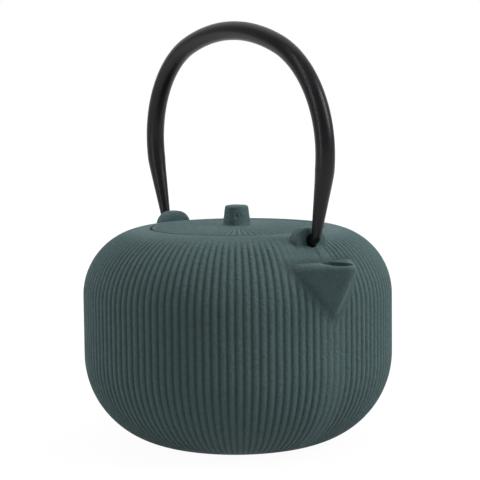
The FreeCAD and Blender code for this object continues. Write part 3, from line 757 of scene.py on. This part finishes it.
# %% Ribs of the lid
LID_RIBS, LID_RIB_DEPTH, LID_RIB_FADE = 80, 0.6, 3
TOP_SIDE = RIM_HEIGHT - 1
lid = spin_into(bmesh.new(), lid_outline, LID_RIBS * STEPS_PER_RIB, closed=True)
for vert in lid.verts:
    radius = off_axis(vert.co)
    if vert.co.z < RIM_HEIGHT - NEAR or radius > rib_end + NEAR:
        continue
    deepening = smooth_step(KNOB_SEAT - LID_RIB_FADE, rib_end, radius)
    sunk = (1 - crest(vert.co, LID_RIBS)) * LID_RIB_DEPTH * deepening
    sunk += unevenness(vert.co)
    vert.co.z -= sunk
lid_object = new_object("lid_casting", lid, [lacquer])
# Painted shade: darker in the grooves between the lid's ribs, in the thin groove inside the band and
# along its edge at the gap to the pot.
lid_painted_shade = lid_object.data.attributes.new("groove", "FLOAT", "POINT")
for vert in lid_object.data.vertices:
    radius = off_axis(vert.co) / MM
    if KNOB_SEAT < radius < rib_end + NEAR and vert.co.z > TOP_SIDE * MM:
        sunk = dome_height(radius) - vert.co.z / MM
        lid_painted_shade.data[vert.index].value = smooth_step(GROOVE_START, LID_RIB_DEPTH, sunk)
    elif rib_end < radius < band_inside - NEAR or radius > LID_EDGE - LID_ROUND:
        lid_painted_shade.data[vert.index].value = 1
dress(lid_object, "lid", ["lid"], CAST_CREASE)

# %% [markdown]
# ## Knob
#
# The knob is a rough little cone, cast on its own and riveted through the lid. It is the
# roughest piece: its sides are lumpy, and two blow holes show. They could be sculpted by
# hand. A noise and two soft dents along the normals give the same, and come out the same
# each time.

# %% Outline of the knob
KNOB_BASE, KNOB_TOP, KNOB_LENGTH, KNOB_ROUND = 7.3, 6.15, 10.1, 1.3
STEM, RIVET_RADIUS, RIVET_HEIGHT = 3.0, 5.0, 1.6
KNOB_ROWS, KNOB_STEPS = 18, 96
rivet_round = RIVET_HEIGHT / 2
knob_height = LID_TOP + KNOB_LENGTH
knob_side = [(KNOB_BASE + (KNOB_TOP - KNOB_BASE) * row / KNOB_ROWS,
              LID_TOP + (KNOB_LENGTH - KNOB_ROUND) * row / KNOB_ROWS) for row in range(KNOB_ROWS)]
knob_outline = (
    [(0, LID_UNDER - RIVET_HEIGHT)]
    + arc((RIVET_RADIUS - rivet_round, LID_UNDER - rivet_round), rivet_round, -90, 0, 4)
    + [(RIVET_RADIUS, LID_UNDER), (STEM, LID_UNDER), (STEM, LID_TOP)]
    + knob_side + arc((KNOB_TOP - KNOB_ROUND, knob_height - KNOB_ROUND), KNOB_ROUND, 0, 90, 6)
    + [(KNOB_TOP * share, knob_height) for share in (0.6, 0.4, 0.2, 0)])
knob = spin_into(bmesh.new(), knob_outline, KNOB_STEPS)
print("knob:", len(knob.verts), "points")

# %% Lumps and blow holes of the knob
KNOB_LUMP_SIZE, KNOB_LUMP = 2.2, 0.16
BLOW_HOLE_RADIUS, BLOW_HOLE_DEPTH = 6.8, 0.6
BLOW_HOLES = [(-36, 116.9, 0.7), (22, 113.9, 0.6)]  # turn in degrees, height, size
knob.normal_update()
holes = []
for turn, height, size in BLOW_HOLES:
    angle = math.radians(turn)
    across = (BLOW_HOLE_RADIUS * math.cos(angle), BLOW_HOLE_RADIUS * math.sin(angle))
    holes.append((Vector((*across, height)), size))
for vert in knob.verts:
    if vert.co.z < LID_TOP + NEAR:
        continue
    lump = noise.noise(vert.co / KNOB_LUMP_SIZE) - 1
    dent = sum(math.exp(-((vert.co - hole).length / size) ** 2) for hole, size in holes)
    vert.co += vert.normal * (0.5 * KNOB_LUMP * lump - BLOW_HOLE_DEPTH * dent)
knob_object = new_object("knob_casting", knob, [lacquer])
dress(knob_object, "lid", ["lid_knob"], CAST_CREASE)

# %% [markdown]
# ## Bail
#
# The bail is one tube, rolled to a wide arch, swaged to cones at its ends and hooked into
# the lugs. A curve with a round bevel would give the arch too, but less simply the cones.
# So a ring of points walks along its centre line: spun round the middle of each bend,
# pushed along the straight leg, and shrunk a little at each step of the cone. Half of it is
# made and mirrored. The whole bail then leans one degree, as loose bails do.

# %% The bail's centre line
TUBE_RADIUS, HOOK_RADIUS = 4.8, 2.5
HALF_WIDTH, WIDEST, HANDLE_TOP, HANDLE_LEAN = 74.8, 153.0, 211.8, math.radians(1.0)
SIDE_BEND, LEG_BEND, ELBOW_BEND, TAPER_HEIGHT, HOOK_END = 55.2, 65.6, 4.0, 143.3, 58.4

side_centre = Vector((HALF_WIDTH - SIDE_BEND, 0, WIDEST))
drop = HANDLE_TOP - WIDEST
crown_bend = (side_centre.x**2 + drop**2 - SIDE_BEND**2) / (2 * (drop - SIDE_BEND))
crown_centre = Vector((0, 0, HANDLE_TOP - crown_bend))
crown_turn = math.atan2(side_centre.x, side_centre.z - crown_centre.z)
leg_centre = Vector((HALF_WIDTH - LEG_BEND, 0, WIDEST))
elbow_centre = Vector((LUG_OUTER, 0, PIVOT_HEIGHT + ELBOW_BEND))
way = elbow_centre - leg_centre
leg_turn = math.atan2(-way.z, way.x) - math.acos((LEG_BEND - ELBOW_BEND) / way.length)
tube_turn = math.asin((WIDEST - TAPER_HEIGHT) / LEG_BEND)
leg_length = math.sqrt(way.length**2 - (LEG_BEND - ELBOW_BEND) ** 2)
cone_length = LEG_BEND * (leg_turn - tube_turn) + leg_length
print(f"bail: {crown_bend:.0f} mm crown bend, {cone_length:.0f} mm cones")

# %% Three ways to change a ring
RING_POINTS = 40
bail = bmesh.new()
ring = bmesh.ops.create_circle(bail, segments=RING_POINTS, radius=TUBE_RADIUS, matrix=(
    Matrix.Translation((0, 0, HANDLE_TOP)) @ Matrix.Rotation(math.pi / 2, 4, "Y")))["verts"]


def ring_edges(points):
    """Edges between the points of a ring."""
    chosen = set(points)
    return [edge for edge in bail.edges if chosen.issuperset(edge.verts)]


def bend(points, centre, angle, steps):
    """Walk a ring round a centre and return its new points."""
    made = bmesh.ops.spin(bail, geom=list(points) + ring_edges(points), cent=centre,
                          axis=(0, 1, 0), angle=angle, steps=steps)["geom_last"]
    return [v for v in made if isinstance(v, bmesh.types.BMVert)]


def push(points, step):
    """Walk a ring straight on and return its new points."""
    made = bmesh.ops.extrude_edge_only(bail, edges=ring_edges(points))["geom"]
    points = [v for v in made if isinstance(v, bmesh.types.BMVert)]
    bmesh.ops.translate(bail, vec=step, verts=points)
    return points


def taper(points, travelled):
    """Give a ring the radius that the cone has after this way."""
    radius = TUBE_RADIUS + (HOOK_RADIUS - TUBE_RADIUS) * travelled / cone_length
    middle = sum((v.co for v in points), Vector()) / len(points)
    share = radius / (points[0].co - middle).length
    bmesh.ops.scale(bail, vec=(share,) * 3, space=Matrix.Translation(-middle), verts=points)


print("ring:", len(ring), "points")

# %% Walk the bail
CROWN_STEPS, SIDE_STEPS, TUBE_STEPS = 10, 22, 4
CONE_STEPS, LEG_STEPS, ELBOW_STEPS = 5, 8, 8
ring = bend(ring, crown_centre, crown_turn, CROWN_STEPS)
ring = bend(ring, side_centre, math.pi / 2 - crown_turn, SIDE_STEPS)
ring = bend(ring, leg_centre, tube_turn, TUBE_STEPS)
travelled = 0
for _ in range(CONE_STEPS):
    ring = bend(ring, leg_centre, (leg_turn - tube_turn) / CONE_STEPS, 1)
    travelled += LEG_BEND * (leg_turn - tube_turn) / CONE_STEPS
    taper(ring, travelled)
leg_way = Vector((-math.sin(leg_turn), 0, -math.cos(leg_turn))) * leg_length / LEG_STEPS
for _ in range(LEG_STEPS):
    ring = push(ring, leg_way)
    travelled += leg_length / LEG_STEPS
    taper(ring, travelled)
ring = bend(ring, elbow_centre, math.pi / 2 - leg_turn, ELBOW_STEPS)
hook_tip = sum((v.co for v in ring), Vector()) / len(ring)
ring = push(ring, (HOOK_END - hook_tip.x, 0, 0))
bmesh.ops.contextual_create(bail, geom=ring_edges(ring))
print("half a bail:", len(bail.faces), "faces")

# %% Mirror the bail and let it lean
bmesh.ops.mirror(bail, geom=bail.verts[:] + bail.edges[:] + bail.faces[:], axis="X",
                 merge_dist=DOUBLES)
bmesh.ops.remove_doubles(bail, verts=bail.verts, dist=DOUBLES)
bmesh.ops.recalc_face_normals(bail, faces=bail.faces)
bmesh.ops.rotate(bail, cent=(0, 0, PIVOT_HEIGHT), matrix=Matrix.Rotation(HANDLE_LEAN, 3, "X"),
                 verts=bail.verts)
bail_object = new_object("bail", bail, [black_lacquer])
dress(bail_object, "bail", ["handle"], STEEL_CREASE)

# %% [markdown]
# ## Strainer
#
# The basket shows only when the lid is lifted. Its rim and its base band are plain
# pressings, so their solids stay and get the steel finish. The sleeve and the floor are
# etched full of holes of about half a millimetre. They are drawn coarser here, because
# finer ones would not show. A see-through pattern in the material would be lighter, but it
# leaves no holes in the mesh. So each face of a grid is inset, and the middle is taken out.

# %% Sleeve of the strainer
SLEEVE_RADIUS, SHEET = 38.05, 0.6
SLEEVE_LOW, SLEEVE_HIGH = 51.45, 105.8
HOLE_PITCH, HOLE_MARGIN, PLAIN_EDGE = 2.0, 0.5, 4.0


def perforate(bm, faces):
    """Open a hole in the middle of each face."""
    bmesh.ops.inset_individual(bm, faces=faces, thickness=HOLE_MARGIN, depth=0)
    bmesh.ops.delete(bm, geom=faces, context="FACES_ONLY")


sleeve_rows = round((SLEEVE_HIGH - SLEEVE_LOW - 2 * PLAIN_EDGE) / HOLE_PITCH)
heights = [SLEEVE_LOW] + [
    SLEEVE_LOW + PLAIN_EDGE + (SLEEVE_HIGH - SLEEVE_LOW - 2 * PLAIN_EDGE) * row / sleeve_rows
    for row in range(sleeve_rows + 1)] + [SLEEVE_HIGH]
sleeve = spin_into(bmesh.new(), [(SLEEVE_RADIUS, z) for z in heights],
                   round(math.tau * SLEEVE_RADIUS / HOLE_PITCH))
low, high = SLEEVE_LOW + PLAIN_EDGE, SLEEVE_HIGH - PLAIN_EDGE
perforate(sleeve, [f for f in sleeve.faces if low < f.calc_center_median().z < high])
bmesh.ops.solidify(sleeve, geom=sleeve.faces[:], thickness=SHEET)
sleeve_object = new_object("strainer_sleeve", sleeve, [stainless])
dress(sleeve_object, "strainer", ["strainer_wall"], STEEL_CREASE)

# %% Floor of the strainer
BASKET_FLOOR, FLOOR_OVERLAP, FLOOR_STEPS = 50.8, 1.2, 120
disc = bmesh.new()
cells = round(2 * SLEEVE_RADIUS / HOLE_PITCH)
bmesh.ops.create_grid(disc, x_segments=cells, y_segments=cells, size=cells * HOLE_PITCH / 2,
                      matrix=Matrix.Translation((0, 0, BASKET_FLOOR + SHEET)))
floor_edge = SLEEVE_RADIUS - PLAIN_EDGE
outside = [face for face in disc.faces
           if max(math.hypot(*v.co.xy) for v in face.verts) > floor_edge + FLOOR_OVERLAP]
bmesh.ops.delete(disc, geom=outside, context="FACES")
perforate(disc, disc.faces[:])
bmesh.ops.solidify(disc, geom=disc.faces[:], thickness=SHEET)
spin_into(disc, [(floor_edge, BASKET_FLOOR), (SLEEVE_RADIUS, BASKET_FLOOR),
                 (SLEEVE_RADIUS, BASKET_FLOOR + SHEET), (floor_edge, BASKET_FLOOR + SHEET)],
          FLOOR_STEPS, closed=True)
floor_object = new_object("strainer_disc", disc, [stainless])
dress(floor_object, "strainer", ["strainer_floor"], STEEL_CREASE)

# %% Steel on the rim and the base band
for node in ("strainer_rim", "strainer_base_band"):
    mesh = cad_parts[node].data
    mesh.materials.clear()
    mesh.materials.append(stainless)
    print(node, "gets", stainless.name)

# %% [markdown]
# ## Studio
#
# The pot stands on white paper, in front of an open white surround. The camera, and every
# reflection, sees both as white, and the paper keeps a soft shadow near the pot. Scattered
# light sees them darker. White could also come from strong lamps, but these would bleach
# the lacquer.

# %% Paper
FLOOR_SIZE = 6.0
SHADOW_REACH = (0.12, 0.4)
PAPER_WHITE = 1.07


def seen_directly(tree):
    """Socket that is 1 for camera, mirror and see-through rays, and 0 for scattered light."""
    rays = add_node(tree, "ShaderNodeLightPath")
    sharp = add_node(tree, "ShaderNodeMath", {
        0: rays.outputs["Is Camera Ray"], 1: rays.outputs["Is Glossy Ray"]}, operation="MAXIMUM")
    return add_node(tree, "ShaderNodeMath", {
        0: sharp.outputs["Value"], 1: rays.outputs["Is Transmission Ray"]},
        operation="MAXIMUM").outputs["Value"]


paper, tree, _ = new_material("white paper")
place = add_node(tree, "ShaderNodeTexCoord").outputs["Object"]
away = add_node(tree, "ShaderNodeVectorMath", {"Vector": place}, operation="LENGTH")
whiteness = add_node(tree, "ShaderNodeMapRange", {
    "Value": away.outputs["Value"], "From Min": SHADOW_REACH[0], "From Max": SHADOW_REACH[1],
    "To Min": 0.9, "To Max": 1.0})
white_share = add_node(tree, "ShaderNodeMath", {
    0: seen_directly(tree), 1: whiteness.outputs["Result"]}, operation="MULTIPLY")
matte = add_node(tree, "ShaderNodeBsdfDiffuse", {"Color": linear("#c0c0c0")})
white = add_node(tree, "ShaderNodeEmission", {"Color": (1, 1, 1, 1), "Strength": PAPER_WHITE})
paper_mix = add_node(tree, "ShaderNodeMixShader", {
    "Fac": white_share.outputs["Value"], 1: matte.outputs["BSDF"], 2: white.outputs["Emission"]})
tree.links.new(paper_mix.outputs["Shader"], tree.nodes["Material Output"].inputs["Surface"])

sheet = bmesh.new()
bmesh.ops.create_grid(sheet, x_segments=1, y_segments=1, size=FLOOR_SIZE / 2 / MM)
floor_sheet = new_object("floor", sheet, [paper])
print("studio: paper of", FLOOR_SIZE, "m")

# %% Surround
ROOM_LIGHT = 0.24
world = bpy.data.worlds.new("studio")
bpy.context.scene.world = world
world.use_nodes = True
strength = add_node(world.node_tree, "ShaderNodeMapRange", {
    "Value": seen_directly(world.node_tree), "To Min": ROOM_LIGHT, "To Max": 1.0})
surround = world.node_tree.nodes["Background"]
surround.inputs["Color"].default_value = (1, 1, 1, 1)
world.node_tree.links.new(strength.outputs["Result"], surround.inputs["Strength"])
print("studio: surround")

# %% [markdown]
# ## Grey walls
#
# A black bail mirrors whatever stands round it, and in a room that is white all round it
# looks grey. So grey walls and a ceiling close the studio on the camera's side, and it
# stays open and white behind the pot. They glow as weakly as the surround does for
# scattered light, so they change the reflections and hardly anything else.

# %% Grey walls and ceiling
WALL_DISTANCE, WALL_TURN, WALL_STEPS_ROUND = 2500, math.radians(250), 40
wall_paint, tree, _ = new_material("grey studio wall")
glow = add_node(tree, "ShaderNodeEmission", {"Color": (1, 1, 1, 1), "Strength": ROOM_LIGHT})
tree.links.new(glow.outputs["Emission"], tree.nodes["Material Output"].inputs["Surface"])
walls = bmesh.new()
corners = [walls.verts.new((r, 0, z)) for r, z in
           [(WALL_DISTANCE, 0), (WALL_DISTANCE, WALL_DISTANCE), (0, WALL_DISTANCE)]]
edges = [walls.edges.new(pair) for pair in zip(corners, corners[1:])]
bmesh.ops.spin(walls, geom=corners + edges, axis=(0, 0, 1), cent=(0, 0, 0), angle=WALL_TURN,
               steps=WALL_STEPS_ROUND)
bmesh.ops.remove_doubles(walls, verts=walls.verts, dist=DOUBLES)
bmesh.ops.rotate(walls, cent=(0, 0, 0), verts=walls.verts, matrix=Matrix.Rotation(
    CAMERA_AZIMUTH - math.pi / 2 - WALL_TURN / 2, 3, "Z"))
new_object("studio_walls", walls, [wall_paint])
print("studio: walls and ceiling")

# %% [markdown]
# ## Soft boxes
#
# The light comes from soft boxes on both sides and above, so that the lid is brightest and
# the ribs in front fall into shade. A narrow strip at the left is there for the gleam on
# the bail alone, and scattered light doesn't see it. The left and the top box are hidden
# from reflections, because they would wash out the bail's crown.

# %% Soft boxes
POT_MIDDLE = Vector((0, 0, 90 * MM))


def soft_box(name, side_angle, height_angle, distance, width, height, power):
    """Area lamp aimed at the pot; angles in degrees, to the camera's right and upwards."""
    lamp = bpy.data.lights.new(name, "AREA")
    lamp.shape = "RECTANGLE"
    lamp.size, lamp.size_y = width, height
    lamp.energy = power
    turn = CAMERA_AZIMUTH + math.radians(side_angle)
    rise = math.radians(height_angle)
    back = Vector((math.sin(turn) * math.cos(rise), -math.cos(turn) * math.cos(rise),
                   math.sin(rise)))
    item = bpy.data.objects.new(name, lamp)
    item.location = POT_MIDDLE + back * distance
    item.rotation_mode = "QUATERNION"
    item.rotation_quaternion = (-back).to_track_quat("-Z", "Y")
    bpy.context.scene.collection.objects.link(item)
    return item


# Name, degrees to the right, degrees up, then distance, width and height in metres, and watts.
left_box = soft_box("left_box", -110, 12, 1.0, 0.3, 0.8, 4.8)
gleam_box = soft_box("gleam_box", -50, 30, 1.0, 0.12, 1.3, 4.5)
right_box = soft_box("right_box", 72, 32, 1.1, 0.3, 0.6, 6.6)
top_box = soft_box("top_box", 120, 78, 1.2, 1.6, 1.6, 12)
left_box.visible_glossy = False
top_box.visible_glossy = False
gleam_box.visible_diffuse = False
print("lamps:", [item.name for item in (left_box, gleam_box, right_box, top_box)])

# %% [markdown]
# ## Finish
#
# Colours are shown as they are written, so the view transform is the standard one.

# %% Finish
bpy.context.scene.view_settings.view_transform = "Standard"
